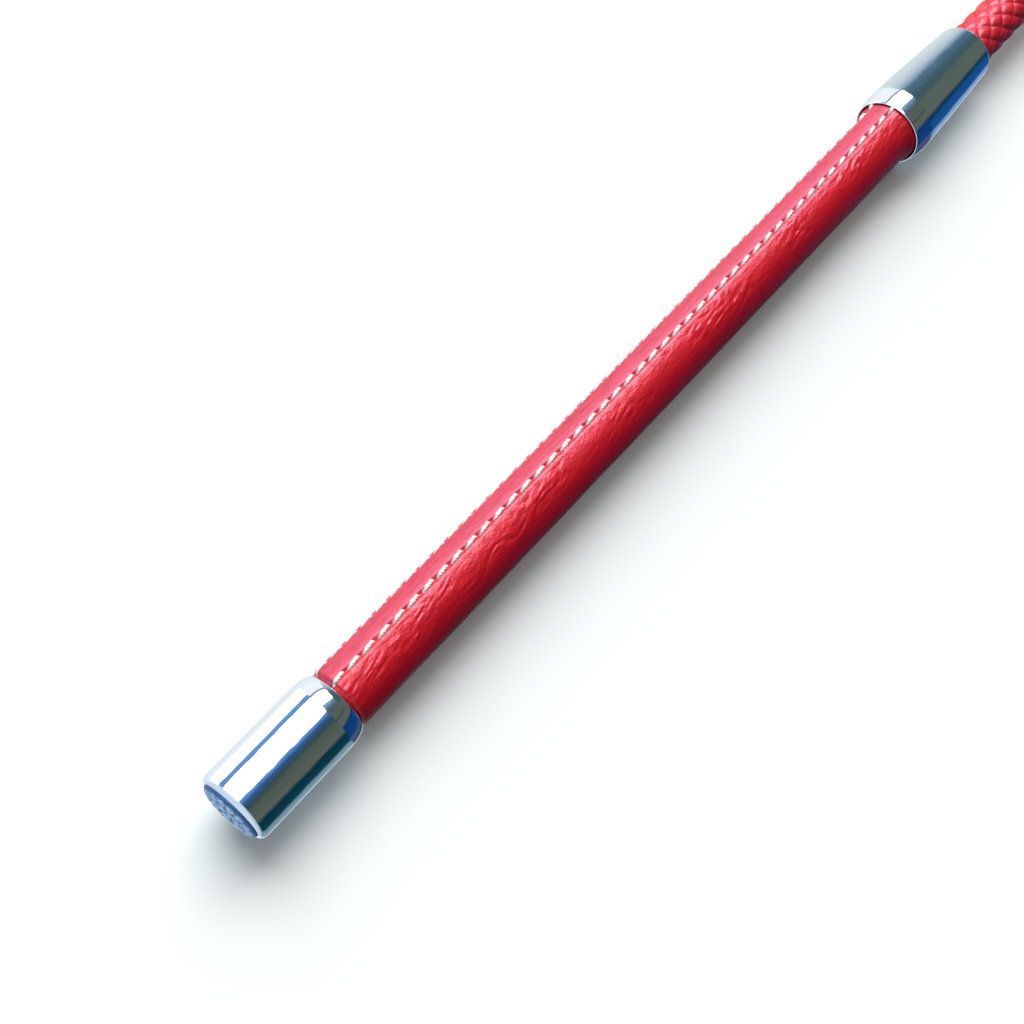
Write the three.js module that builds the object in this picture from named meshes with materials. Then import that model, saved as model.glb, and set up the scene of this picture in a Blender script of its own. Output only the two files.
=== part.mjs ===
// A leather riding crop, lying on a table along X with its butt towards -X.
// Millimetres, +Z up. The origin is under the middle of the crop, on the table.
//
// Every piece is drawn in the crop's own frame, where x runs along its straight axis from the
// plane of the butt rim (x = 0) to the tip, and y = z = 0 is the axis itself. One group then
// lifts the axis to the height at which the ferrule and the keeper touch the table.

import * as THREE from 'three';

// ---------------------------------------------------------------- driving dimensions

const OVERALL_LENGTH = 650;

const SIDES = 40;              // facets round the chrome pieces
const CORE_SIDES = 24;         // facets round the pieces inside
const FIT_GAP = 0.15;          // gap kept between two pieces that touch
const TURN = 2 * Math.PI;

const BUTTON_DOME = 1.4;       // how far the end button stands out of the cap's rim
const BUTTON_RADIUS = 7.15;
const BUTTON_FLAT_RADIUS = 2;
const BUTTON_BACK = 0.95;

const CAP_RADIUS = 8.05;
const CAP_LENGTH = 27.98;
const CAP_WALL = 0.6;
const CAP_SHOULDER = 4.3;      // length of the rounded shoulder
const CAP_MOUTH_RADIUS = 7;
const CAP_RIM = 0.45;          // radius of the rolled rim
const CAP_FLOOR = 2.4;         // outer face of the cap's end wall
const SCREW_HOLE_RADIUS = 1.65;

const LEATHER_START = 18.6;
const LEATHER_END = 229.5;
const LEATHER_INNER = 6.05;    // radius of the flesh side
const LEATHER_OUTER = 7.05;    // radius of the grain side where the leather is single
const LAP_OUTER = 7.45;        // radius of the grain side on the lap
const LAP_INNER_FLAP = 6.55;   // top of the thinned flap under the lap
const LAP_START = 37.5;        // degrees from +Y towards +Z: cut edge of the outer flap
const LAP_END = 99;            // where the outer flap steps down to the single leather
const MOUTH_SQUEEZE = 0.845;   // how far the cap's mouth squeezes the leather

const STITCH_PITCH = 4.233;    // six stitches to the inch
const STITCH_FIRST = 31.9;     // a gap between two stitches
const INNER_ROW_ANGLE = 88;    // degrees, as for the lap
const OUTER_ROW_ANGLE = 45.5;
const THREAD_RADIUS = 0.375;
const GROOVE_DEPTH = 0.55;

const FERRULE_START = 220.4;
const FERRULE_END = 256;
const FERRULE_RADIUS = 9;      // at its widest, a little inside the mouth
const FERRULE_WIDEST = FERRULE_START + 5.4;
const FERRULE_MOUTH_RADIUS = 8.35;
const FERRULE_BORE = 7.85;     // inside of the lip
const FERRULE_SMALL_RADIUS = 7.3;
const FERRULE_WALL = 0.65;

const KEEPER_LENGTH = 65;
const KEEPER_WIDTH = 30;
const KEEPER_ROOT_WIDTH = 9;
const KEEPER_CORNER = 7;       // radius of the two corners at the end
const KEEPER_END = OVERALL_LENGTH - BUTTON_DOME;
const LEAF_THICKNESS = 1.6;
const LEAF_GAP = 0.3;          // between the two leaves
const LOWER_LEAF_START = KEEPER_END - KEEPER_LENGTH;
const UPPER_LEAF_START = LOWER_LEAF_START + 8;
const KEEPER_FULL_WIDTH_AT = LOWER_LEAF_START + 16;
const KEEPER_FLAT_FROM = LOWER_LEAF_START + 30;   // from here on it lies flat on the table

const NECK_END = LOWER_LEAF_START - 1.1;
const NECK_RADIUS = 3.75;
const NECK_BORE = 2.6;

const ROD_START = 13.2;
const ROD_END = NECK_END - 2.9;
const ROD_BUTT_RADIUS = 4;
const ROD_TIP_RADIUS = 1.8;

const BRAID_START = 231.5;
const BRAID_END = ROD_END - 20;
const BRAID_RADIUS = 5.8;      // where it leaves the ferrule
const BRAID_TIP_RADIUS = 3.75;
const BRAID_WALL = 1;

const BINDING_START = BRAID_END - 10;
const BINDING_END = BRAID_END + 12;

// The ferrule stands on one facet of its widest part.
const AXIS_HEIGHT = FERRULE_RADIUS * Math.cos(Math.PI / SIDES);
const MIDDLE = (KEEPER_END - BUTTON_DOME) / 2;

// ---------------------------------------------------------------- materials

const metal = (color, roughness) =>
  new THREE.MeshStandardMaterial({ color, roughness, metalness: 1 });
const plain = (color, roughness) =>
  new THREE.MeshStandardMaterial({ color, roughness, metalness: 0 });

const looks = {
  chrome: () => metal(0xdfe6ee, 0.05),
  button: () => metal(0x8fa3bd, 0.3),
  steel: () => metal(0xa8a8a4, 0.35),
  gripLeather: () => plain(0xc4162c, 0.42),
  braidLeather: () => plain(0xc80c20, 0.3),
  keeperLeather: () => plain(0xb8142a, 0.45),
  thread: () => plain(0xf3ece0, 0.7),
  redThread: () => plain(0x8f1020, 0.6),
  wood: () => plain(0xb88a55, 0.6),
  foam: () => plain(0x3a3a3a, 0.9),
  packing: () => plain(0x2b2b2e, 0.6),
  fibreglass: () => plain(0xd8d2b8, 0.3),
};

// ---------------------------------------------------------------- making helpers

const radians = (degrees) => (degrees * Math.PI) / 180;

const crop = new THREE.Group();
crop.position.set(-MIDDLE, 0, AXIS_HEIGHT);

function addPiece(name, geometry, material) {
  const mesh = new THREE.Mesh(geometry, material);
  mesh.name = name;
  crop.add(mesh);
  return mesh;
}

// Turns a closed outline of [radius, x] points round the axis. The outline may run either way
// and may touch the axis only at its first and last points.
function addTurned(name, outline, material, sides = CORE_SIDES) {
  const points = outline.map(([radius, x]) => new THREE.Vector2(radius, x));
  const solid = points[0].x === 0;
  if (THREE.ShapeUtils.isClockWise(points)) points.reverse();
  if (!solid) points.push(points[0].clone());
  const geometry = new THREE.LatheGeometry(points, sides, Math.PI / sides, TURN);
  const mesh = addPiece(name, geometry, material);
  mesh.rotation.z = -Math.PI / 2;      // the lathe's own axis is Y
  return mesh;
}

// Points of an elliptical arc in [radius, x], from one angle to another, in degrees.
function arc(centreRadius, centreX, radialHalf, axialHalf, from, to, steps) {
  const points = [];
  for (let i = 0; i <= steps; i += 1) {
    const angle = radians(from + ((to - from) * i) / steps);
    points.push([centreRadius + radialHalf * Math.cos(angle), centreX + axialHalf * Math.sin(angle)]);
  }
  return points;
}

const ramp = (x, from, to) => THREE.MathUtils.smoothstep(x, from, to);
const between = (a, b, share) => a + (b - a) * share;

const rodRadius = (x) =>
  between(ROD_BUTT_RADIUS, ROD_TIP_RADIUS, (x - ROD_START) / (ROD_END - ROD_START));
const braidRadius = (x) =>
  between(BRAID_RADIUS, BRAID_TIP_RADIUS, (x - FERRULE_END) / (BRAID_END - FERRULE_END));

// The ferrule swells from its mouth to its widest part, then narrows in a slightly convex cone.
function ferruleRadius(x) {
  if (x < FERRULE_WIDEST) {
    const toMouth = (FERRULE_WIDEST - x) / (FERRULE_WIDEST - FERRULE_START);
    return between(FERRULE_RADIUS, FERRULE_MOUTH_RADIUS, toMouth ** 2.2);
  }
  const toEnd = (x - FERRULE_WIDEST) / (FERRULE_END - FERRULE_WIDEST);
  return between(FERRULE_RADIUS, FERRULE_SMALL_RADIUS, toEnd ** 1.25);
}
const ferruleStations = [2.2, 3.6, 5.4, 8, 11, 14, 17, 20, 23, 26, 29].map((step) => FERRULE_START + step);

// ---------------------------------------------------------------- butt: cap, button, screw, plug

// Drawn cup: rolled rim, recess for the button, end wall with a screw hole, rounded shoulder.
function addButtCap() {
  const inside = CAP_RADIUS - CAP_WALL;
  const recess = BUTTON_RADIUS + FIT_GAP;
  const shoulderFrom = CAP_LENGTH - CAP_SHOULDER;
  const shoulderAngle = 60;
  const drop = CAP_RADIUS - CAP_MOUTH_RADIUS;
  const radialHalf = drop / (1 - Math.cos(radians(shoulderAngle)));
  const axialHalf = CAP_SHOULDER / Math.sin(radians(shoulderAngle));
  const shoulder = (radius) => arc(radius - radialHalf, shoulderFrom, radialHalf, axialHalf, 0, shoulderAngle, 5);
  const rim = arc(CAP_RADIUS - CAP_RIM, CAP_RIM, CAP_RIM, CAP_RIM, -160, 0, 4);
  const outline = [
    [recess, CAP_FLOOR],
    ...rim,
    ...shoulder(CAP_RADIUS),
    ...shoulder(inside).reverse(),
    [inside, CAP_FLOOR + CAP_WALL],
    [SCREW_HOLE_RADIUS, CAP_FLOOR + CAP_WALL],
    [SCREW_HOLE_RADIUS, CAP_FLOOR],
  ];
  addTurned('butt_cap', outline, looks.chrome(), SIDES);
}

// Domed disc with a small flat in its middle, pressed into the cap's recess.
function addEndButton() {
  const edge = 0.35;
  const domeHeight = BUTTON_DOME + edge;
  const dome = arc(BUTTON_FLAT_RADIUS, edge, BUTTON_RADIUS - BUTTON_FLAT_RADIUS, -domeHeight, 0, 90, 5);
  const outline = [[0, BUTTON_BACK], [BUTTON_RADIUS, BUTTON_BACK], ...dome, [0, -BUTTON_DOME]];
  addTurned('end_button', outline, looks.button(), SIDES);
}

// Round-headed wood screw through the cap's end wall into the plug.
function addCapScrew() {
  const headBack = CAP_FLOOR - FIT_GAP;
  const head = [[0, headBack - 1.1], [1.6, headBack - 1.1], [2.7, headBack - 0.5], [2.7, headBack]];
  const shank = [[1.35, headBack], [1.35, 9.5], [0, 12.2]];
  addTurned('cap_screw', [...head, ...shank], looks.steel(), 16);
}

// Turned wooden plug: a pilot hole for the screw, then a socket for the rod.
function addButtPlug() {
  const outer = CAP_RADIUS - CAP_WALL - FIT_GAP;
  const start = CAP_FLOOR + CAP_WALL + FIT_GAP;
  const end = LEATHER_START - 0.3;
  const socket = ROD_BUTT_RADIUS + FIT_GAP;
  const outline = [
    [SCREW_HOLE_RADIUS, start], [outer - 0.5, start], [outer, start + 0.5], [outer, end - 0.5],
    [outer - 0.5, end], [socket, end], [socket, ROD_START - 0.3], [SCREW_HOLE_RADIUS, ROD_START - 0.3],
  ];
  addTurned('butt_plug', outline, looks.wood());
}

// Waxed thread that ties the leather's end down inside the cap.
function addButtBinding() {
  const inner = LAP_OUTER * MOUTH_SQUEEZE + FIT_GAP;
  const outer = CAP_RADIUS - CAP_WALL - FIT_GAP;
  const from = LEATHER_START + 0.6;
  const to = CAP_LENGTH - CAP_SHOULDER - 0.6;
  const outline = [[inner, from], [outer - 0.4, from], [outer, from + 0.5], [outer, to - 0.5], [outer - 0.4, to], [inner, to]];
  addTurned('butt_binding', outline, looks.thread());
}

// ---------------------------------------------------------------- core rod and its sleeves

// Tapered fibreglass rod, the springy core of the whole crop.
function addCoreRod() {
  const chamfer = 0.4;
  const outline = [
    [0, ROD_START], [ROD_BUTT_RADIUS - chamfer, ROD_START], [ROD_BUTT_RADIUS, ROD_START + chamfer],
    [ROD_TIP_RADIUS, ROD_END - chamfer], [ROD_TIP_RADIUS - chamfer, ROD_END], [0, ROD_END],
  ];
  addTurned('core_rod', outline, looks.fibreglass());
}

// Cap on the rod's end, so that its edge doesn't wear through the keeper.
function addRodTipCap() {
  const inner = ROD_TIP_RADIUS + FIT_GAP;
  const outer = NECK_BORE - FIT_GAP;
  const outline = [
    [inner, ROD_END - 3.8], [outer, ROD_END - 3.8], [outer, ROD_END + 1.1],
    [outer - 0.7, ROD_END + 1.8], [0, ROD_END + 1.8], [0, ROD_END + FIT_GAP], [inner, ROD_END + FIT_GAP],
  ];
  const closed = [...outline.slice(5), ...outline.slice(0, 5)];
  addTurned('rod_tip_cap', closed, looks.packing());
}

// Foam sleeve that builds the rod up to the inside of the leather; the cap's mouth squeezes it.
function addGripPadding() {
  const start = CAP_LENGTH - CAP_SHOULDER + 0.4;
  const end = LEATHER_END - 0.7;
  const inner = (x) => rodRadius(x) + FIT_GAP;
  const full = LEATHER_INNER - FIT_GAP;
  const squeezed = LEATHER_INNER * MOUTH_SQUEEZE - FIT_GAP;
  const outline = [
    [inner(start), start], [squeezed, start], [squeezed, CAP_LENGTH],
    [full, CAP_LENGTH + 4], [full, end], [inner(end), end],
  ];
  addTurned('grip_padding', outline, looks.foam());
}

// Sleeve between the rod and the plait, running on under the keeper's neck.
function addShaftUnderlay() {
  const start = BRAID_START;
  const end = ROD_END - 4.2;
  const inner = (x) => rodRadius(x) + FIT_GAP;
  const outer = (x) => braidRadius(x) - BRAID_WALL - FIT_GAP;
  const underNeck = NECK_BORE - FIT_GAP;
  const outline = [
    [inner(start), start], [outer(start), start], [outer(BRAID_END), BRAID_END],
    [underNeck, BRAID_END + 0.2], [underNeck, end], [inner(end), end],
  ];
  addTurned('shaft_underlay', outline, looks.packing());
}

// The plaited leather cover as a plain sleeve of its outer size.
function addBraidCover() {
  const start = BRAID_START;
  const outline = [
    [braidRadius(start) - BRAID_WALL, start], [braidRadius(start), start],
    [braidRadius(BRAID_END), BRAID_END], [braidRadius(BRAID_END) - BRAID_WALL, BRAID_END],
  ];
  addTurned('braid_cover', outline, looks.braidLeather(), 32);
}

// ---------------------------------------------------------------- grip leather and its stitching

// Radius of the top grain at an angle, with the groove that each stitch row is pulled into.
function lapTop(angle) {
  const groove = (row) => 1 - ramp(Math.abs(angle - row), 4.4, 6.6);
  const depth = GROOVE_DEPTH * Math.max(groove(INNER_ROW_ANGLE), groove(OUTER_ROW_ANGLE));
  return between(LAP_OUTER, LEATHER_OUTER, ramp(angle, LAP_END - 4, LAP_END)) - depth;
}

// The leather's section: it starts as a thinned flap under the lap, runs once round the
// handle, steps up over its own start and ends at the cut edge of the lap.
function leatherSection() {
  const at = (radius, angle) =>
    new THREE.Vector2(radius * Math.cos(radians(angle)), radius * Math.sin(radians(angle)));
  const step = 9;
  const flapEnd = LAP_END - 5;
  const overFlap = LAP_INNER_FLAP + 0.12;
  const flapThick = [LAP_START - 8, LAP_START - 2];   // the thin flap thickens just past the cut edge
  const round = LAP_END + 3;
  const points = [];
  // outer grain of the lap, from the cut edge to the step
  const grooved = (row) => [-6.6, -4.4, -1, 1, 4.4, 6.6].map((step) => row + step);
  const lapAngles = [LAP_START, ...grooved(OUTER_ROW_ANGLE), 59, 67, 75, ...grooved(INNER_ROW_ANGLE), LAP_END];
  for (const angle of lapAngles) points.push(at(angle === LAP_START ? LAP_OUTER - 0.3 : lapTop(angle), angle));
  // outer grain of the single leather, once round to the start of the thin flap
  for (let angle = round + step; angle < 360 + flapThick[0]; angle += step) points.push(at(LEATHER_OUTER, angle));
  points.push(at(LEATHER_OUTER, 360 + flapThick[0]));
  for (let angle = flapThick[1]; angle < flapEnd; angle += step) points.push(at(LAP_INNER_FLAP, angle));
  points.push(at(LAP_INNER_FLAP - 0.1, flapEnd));
  // flesh side, back the other way
  for (let angle = flapEnd; angle > round - 360; angle -= step) points.push(at(LEATHER_INNER, angle));
  points.push(at(LEATHER_INNER, round - 360));
  // flesh side of the lap, over the flap
  points.push(at(overFlap, flapEnd + 2));
  for (let angle = flapEnd - step; angle > LAP_START; angle -= step) points.push(at(overFlap, angle));
  points.push(at(overFlap, LAP_START));
  return new THREE.Shape(points);
}

// How much narrower the leather is at x: squeezed in the cap's mouth, and swollen a little
// where it fills the ferrule's mouth.
function leatherSqueeze(x) {
  const squeezed = between(MOUTH_SQUEEZE, 1, ramp(x, CAP_LENGTH + 0.1, CAP_LENGTH + 2.6));
  return squeezed + 0.026 * Math.exp(-(((x - FERRULE_START) / 2.4) ** 2));
}

function addGripLeather() {
  const mouth = CAP_LENGTH;
  const stations = [
    LEATHER_START, mouth + 0.1, mouth + 0.7, mouth + 1.3, mouth + 2, mouth + 3,
    FERRULE_START - 4.4, FERRULE_START - 2.2, FERRULE_START, FERRULE_START + 2.2, FERRULE_START + 4.4, LEATHER_END,
  ];
  const steps = stations.length - 1;
  const geometry = new THREE.ExtrudeGeometry(leatherSection(), { depth: steps, steps, bevelEnabled: false });
  const position = geometry.getAttribute('position');
  for (let i = 0; i < position.count; i += 1) {
    const x = stations[Math.round(position.getZ(i))];
    const squeeze = leatherSqueeze(x);
    position.setXYZ(i, x, position.getX(i) * squeeze, position.getY(i) * squeeze);
  }
  addPiece('grip_leather', geometry, looks.gripLeather());
}

// A sewn thread: it follows its row and dips between two stitches.
class StitchPath extends THREE.Curve {
  constructor(from, to, place) {
    super();
    Object.assign(this, { from, to, place });
    this.arcLengthDivisions = 400;
  }

  getPoint(t, target = new THREE.Vector3()) {
    return target.copy(this.place(between(this.from, this.to, t)));
  }
}

function threadSection(sides = 6) {
  return new THREE.Shape(
    Array.from({ length: sides }, (_, i) => new THREE.Vector2(
      THREAD_RADIUS * Math.cos((TURN * i) / sides), THREAD_RADIUS * Math.sin((TURN * i) / sides))));
}

function addGripStitching(name, angle) {
  const resting = LAP_OUTER - GROOVE_DEPTH + THREAD_RADIUS + 0.2;
  const dip = 0.08;
  const place = (x) => {
    const phase = (TURN * (x - STITCH_FIRST)) / STITCH_PITCH;
    const radius = (resting - dip * Math.cos(phase)) * leatherSqueeze(x);
    return new THREE.Vector3(x, radius * Math.cos(radians(angle)), radius * Math.sin(radians(angle)));
  };
  const from = STITCH_FIRST - STITCH_PITCH / 4;
  const stitches = Math.floor((FERRULE_START - 0.3 - from) / STITCH_PITCH);
  const path = new StitchPath(from, from + stitches * STITCH_PITCH, place);
  const options = { steps: 2 * stitches, extrudePath: path, bevelEnabled: false };
  addPiece(name, new THREE.ExtrudeGeometry(threadSection(), options), looks.thread());
}

// ---------------------------------------------------------------- ferrule and its bush

// Conical collar: a rounded lip close round the leather and a rounded shoulder on the plait.
function addFerrule() {
  const lip = (FERRULE_MOUTH_RADIUS - FERRULE_BORE) / 2;
  const mouth = arc(FERRULE_MOUTH_RADIUS - lip, FERRULE_START + lip, lip, lip, -180, 0, 4);
  const inner = (x) => ferruleRadius(x) - FERRULE_WALL;
  const shoulder = 1.1;
  const bore = braidRadius(FERRULE_END) + 0.22;
  const shoulderX = FERRULE_END - shoulder;
  const outside = [0.8, 1.4, ...ferruleStations.map((x) => x - FERRULE_START), 32].map((step) => FERRULE_START + step);
  const outline = [
    ...mouth,
    ...outside.map((x) => [ferruleRadius(x), x]),
    ...arc(ferruleRadius(shoulderX) - shoulder, shoulderX, shoulder, shoulder, 0, 80, 4),
    [bore, FERRULE_END - 0.15],
    [bore, FERRULE_END - 0.6],
    [inner(shoulderX - 1), shoulderX - 1],
    ...ferruleStations.map((x) => [inner(x), x]).reverse(),
    [FERRULE_BORE, FERRULE_START + 1],
  ];
  addTurned('ferrule', outline, looks.chrome(), SIDES);
}

// Tapered packing that centres the plait in the ferrule.
function addFerruleBush() {
  const start = LEATHER_END + 0.5;
  const end = FERRULE_END - 4;
  const outer = (x) => ferruleRadius(x) - FERRULE_WALL - FIT_GAP;
  const bore = braidRadius(BRAID_START) + FIT_GAP;
  const middle = ferruleStations.filter((x) => x > start + 0.5 && x < end - 0.5);
  const outline = [[bore, start], ...[start, ...middle, end].map((x) => [outer(x), x]), [bore, end]];
  addTurned('ferrule_bush', outline, looks.packing());
}

// ---------------------------------------------------------------- tip: binding, neck, keeper

// Whipping over the end of the plait and the start of the keeper's neck.
function addTipBinding() {
  const inner = braidRadius(BINDING_START) + FIT_GAP;
  const outer = inner + 0.65;
  const edge = 0.35;
  const outline = [
    [inner, BINDING_START], [outer - edge, BINDING_START], [outer, BINDING_START + edge],
    [outer, BINDING_END - edge], [outer - edge, BINDING_END], [inner, BINDING_END],
  ];
  addTurned('tip_binding', outline, looks.redThread());
}

// The leather neck that is wrapped round the rod's end.
function addKeeperNeck() {
  const start = BRAID_END + 0.5;
  const outline = [
    [NECK_BORE, start], [NECK_RADIUS, start], [NECK_RADIUS, NECK_END - 3],
    [NECK_RADIUS - 0.5, NECK_END], [NECK_BORE, NECK_END],
  ];
  addTurned('keeper_neck', outline, looks.keeperLeather());
}

// Height of the lower leaf's middle: from the axis down to the table.
function leafHeight(x) {
  const low = -AXIS_HEIGHT + LEAF_THICKNESS / 2;
  return between(-0.6, low, ramp(x, LOWER_LEAF_START, KEEPER_FLAT_FROM));
}

// Half the keeper's width at x: it widens from the neck and ends in two round corners.
function leafHalfWidth(x) {
  const full = KEEPER_WIDTH / 2;
  if (x < KEEPER_FULL_WIDTH_AT) return between(KEEPER_ROOT_WIDTH / 2, full, ramp(x, LOWER_LEAF_START - 4, KEEPER_FULL_WIDTH_AT));
  const past = Math.max(0, x - (KEEPER_END - KEEPER_CORNER));
  return full - KEEPER_CORNER + Math.sqrt(KEEPER_CORNER ** 2 - past ** 2);
}

// A leaf is its side view, drawn across the keeper and then narrowed to the plan's width.
function addLeaf(name, start, lift) {
  const stations = [];
  const bendSteps = 9;
  for (let i = 0; i <= bendSteps; i += 1) stations.push(between(start, KEEPER_FLAT_FROM, i / bendSteps));
  for (let i = 0; i <= 5; i += 1) {
    stations.push(KEEPER_END - KEEPER_CORNER + KEEPER_CORNER * Math.sin(radians(18 * i)));
  }
  const height = (x) => leafHeight(x) + lift;
  const half = LEAF_THICKNESS / 2;
  const below = stations.map((x) => new THREE.Vector2(x, height(x) - half));
  const above = stations.map((x) => new THREE.Vector2(x, height(x) + half)).reverse();
  const side = new THREE.Shape([...below, ...above]);
  const geometry = new THREE.ExtrudeGeometry(side, { depth: 2, steps: 2, bevelEnabled: false });
  const position = geometry.getAttribute('position');
  for (let i = 0; i < position.count; i += 1) {
    const x = position.getX(i);
    const across = 1 - position.getZ(i);
    position.setXYZ(i, x, across * leafHalfWidth(x), position.getY(i));
  }
  addPiece(name, geometry, looks.keeperLeather());
}

// The row that sews the upper leaf down across its root.
function addKeeperStitching() {
  const x = UPPER_LEAF_START + 2;
  const top = leafHeight(x) + 1.5 * LEAF_THICKNESS + LEAF_GAP;
  const reach = leafHalfWidth(x) - 1.6;
  const stitches = 5;
  const place = (y) => {
    const phase = (TURN * stitches * (y + reach)) / (2 * reach);
    return new THREE.Vector3(x, y, top + THREAD_RADIUS + 0.35 - 0.08 * Math.cos(phase));
  };
  const path = new StitchPath(-reach, reach, place);
  const options = { steps: 2 * stitches, extrudePath: path, bevelEnabled: false };
  addPiece('keeper_stitching', new THREE.ExtrudeGeometry(threadSection(), options), looks.thread());
}

// ---------------------------------------------------------------- assembly

addButtCap();
addEndButton();
addCapScrew();
addButtPlug();
addButtBinding();
addCoreRod();
addGripPadding();
addGripLeather();
addGripStitching('stitch_row_inner', INNER_ROW_ANGLE);
addGripStitching('stitch_row_outer', OUTER_ROW_ANGLE);
addFerrule();
addFerruleBush();
addShaftUnderlay();
addBraidCover();
addTipBinding();
addRodTipCap();
addKeeperNeck();
addLeaf('keeper_lower_leaf', LOWER_LEAF_START, 0);
addLeaf('keeper_upper_leaf', UPPER_LEAF_START, LEAF_THICKNESS + LEAF_GAP);
addKeeperStitching();

const part = new THREE.Group();
part.add(crop);
export default part;
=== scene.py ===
# A leather riding crop, dressed over its CAD frame. Metres, +Z up, the crop lies along +X.

import math

import bmesh
import bpy
import mathutils
import numpy as np
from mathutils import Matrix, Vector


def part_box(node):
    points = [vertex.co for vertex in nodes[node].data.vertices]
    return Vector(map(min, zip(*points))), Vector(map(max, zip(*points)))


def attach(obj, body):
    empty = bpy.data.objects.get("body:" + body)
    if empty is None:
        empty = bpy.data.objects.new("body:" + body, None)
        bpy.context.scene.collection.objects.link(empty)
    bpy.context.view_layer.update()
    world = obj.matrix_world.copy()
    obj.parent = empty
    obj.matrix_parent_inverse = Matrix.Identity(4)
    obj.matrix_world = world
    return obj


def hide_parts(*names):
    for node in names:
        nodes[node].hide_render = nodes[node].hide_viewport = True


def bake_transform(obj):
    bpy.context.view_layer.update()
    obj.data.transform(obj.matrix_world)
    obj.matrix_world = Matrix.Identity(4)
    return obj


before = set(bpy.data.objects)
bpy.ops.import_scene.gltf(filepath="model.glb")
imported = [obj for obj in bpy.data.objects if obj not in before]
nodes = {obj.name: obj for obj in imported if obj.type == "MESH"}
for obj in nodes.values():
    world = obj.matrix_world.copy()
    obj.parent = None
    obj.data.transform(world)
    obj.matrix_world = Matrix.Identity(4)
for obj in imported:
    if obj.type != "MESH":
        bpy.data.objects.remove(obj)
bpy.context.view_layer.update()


# ---------------------------------------------------------------------------------------------
# Core rod: a solid fibreglass rod, ground to a taper. The glass runs along it, so its sheen
# and its colour are drawn out in long fine streaks.
# ---------------------------------------------------------------------------------------------
MM = 0.001


# Shader sums: an output of a node is used in an expression as a number is, and each operation
# adds its Math node. Any other node comes from Look.node.
class Num:
    def __init__(self, look, socket):
        self.look, self.socket = look, socket

    def math(self, operation, *values):
        return self.look.node("ShaderNodeMath", {"operation": operation}, dict(enumerate(values)))

    def __add__(self, other):
        return self.math("ADD", self, other)

    def __sub__(self, other):
        return self.math("SUBTRACT", self, other)

    def __rsub__(self, other):
        return self.math("SUBTRACT", other, self)

    def __mul__(self, other):
        return self.math("MULTIPLY", self, other)

    def __truediv__(self, other):
        return self.math("DIVIDE", self, other)

    def rise(self, low, high):
        """0 below low, 1 above high, and an S curve between them."""
        settings = {"interpolation_type": "SMOOTHSTEP"}
        return self.look.node("ShaderNodeMapRange", settings, {0: self, 1: low, 2: high})

    __radd__ = __add__
    __rmul__ = __mul__


class Look:
    """A material under construction: one Principled surface and the nodes that feed it."""

    def __init__(self, name, colour, roughness, **constants):
        self.material = bpy.data.materials.new(name)
        self.material.use_nodes = True
        self.tree = self.material.node_tree
        self.shader = self.tree.nodes["Principled BSDF"]
        self.set("Base Color", colour)
        self.set("Roughness", roughness)
        for socket, value in constants.items():
            self.set(socket.replace("_", " "), value)

    def feed(self, socket, value):
        if isinstance(value, Num):
            self.tree.links.new(value.socket, socket)
        elif hasattr(value, "__len__") and len(value) == 3 and socket.type == "RGBA":
            socket.default_value = (*value, 1)
        else:
            socket.default_value = value

    def set(self, socket, value):
        self.feed(self.shader.inputs[socket], value)

    def node(self, kind, settings=None, inputs=None, output=0):
        """A new node: its settings first, then the values or links of its sockets."""
        made = self.tree.nodes.new(kind)
        for key, value in (settings or {}).items():
            if key == "stops":
                ramp = made.color_ramp.elements
                while len(ramp) < len(value):
                    ramp.new(1)
                for stop, (place, colour) in zip(ramp, value):
                    stop.position, stop.color = place, (*colour, 1)
            else:
                setattr(made, key, value)
        for key, value in (inputs or {}).items():
            self.feed(made.inputs[key], value)
        return Num(self, made.outputs[output])

    def place(self, stretch=(1, 1, 1)):
        """The object's own coordinates in mm, each stretched by a factor."""
        raw = self.node("ShaderNodeTexCoord", output="Object")
        scale = tuple(s / MM for s in stretch)
        return self.node("ShaderNodeVectorMath", {"operation": "MULTIPLY"}, {0: raw, 1: scale})

    def cut(self, stretch=(1, 1, 1)):
        """The coordinates of the flat piece before it was wrapped, in mm: along, across, up."""
        raw = self.node("ShaderNodeAttribute", {"attribute_name": "cut"}, output="Vector")
        return self.node("ShaderNodeVectorMath", {"operation": "MULTIPLY"}, {0: raw, 1: stretch})

    def mask(self, name):
        """A number stored on the mesh's points."""
        return self.node("ShaderNodeAttribute", {"attribute_name": name}, output="Fac")

    def noise(self, vector, scale, detail=2.0, rough=0.5):
        inputs = {"Vector": vector, "Scale": scale, "Detail": detail, "Roughness": rough}
        return self.node("ShaderNodeTexNoise", None, inputs)

    def cells(self, vector, scale):
        return self.node("ShaderNodeTexVoronoi", {"feature": "F1"}, {"Vector": vector, "Scale": scale})

    def mix(self, share, first, second):
        """A colour from first, where share is 0, to second, where it is 1."""
        return self.node("ShaderNodeMix", {"data_type": "RGBA"}, {0: share, 6: first, 7: second}, output=2)

    def relief(self, height, depth):
        """Fine relief of that depth in mm, where height runs from 0 to 1."""
        inputs = {"Height": height, "Distance": depth * MM, "Strength": 1.0}
        self.set("Normal", self.node("ShaderNodeBump", None, inputs))
        return self


def dress(node, look):
    """A CAD piece that keeps its shape takes a finished material."""
    piece = nodes[node]
    piece.data.materials.clear()
    piece.data.materials.append(look.material)


fibreglass = Look("fibreglass", (0.7, 0.66, 0.5), 0.3, IOR=1.52)
glass_streaks = fibreglass.noise(fibreglass.place((0.04, 2.5, 2.5)), 1.0, 4)
fibreglass.set("Base Color", fibreglass.mix(glass_streaks, (0.55, 0.5, 0.34), (0.8, 0.77, 0.64)))
fibreglass.set("Roughness", 0.22 + glass_streaks * 0.2)
fibreglass.relief(glass_streaks, 0.05)
dress("core_rod", fibreglass)


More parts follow.
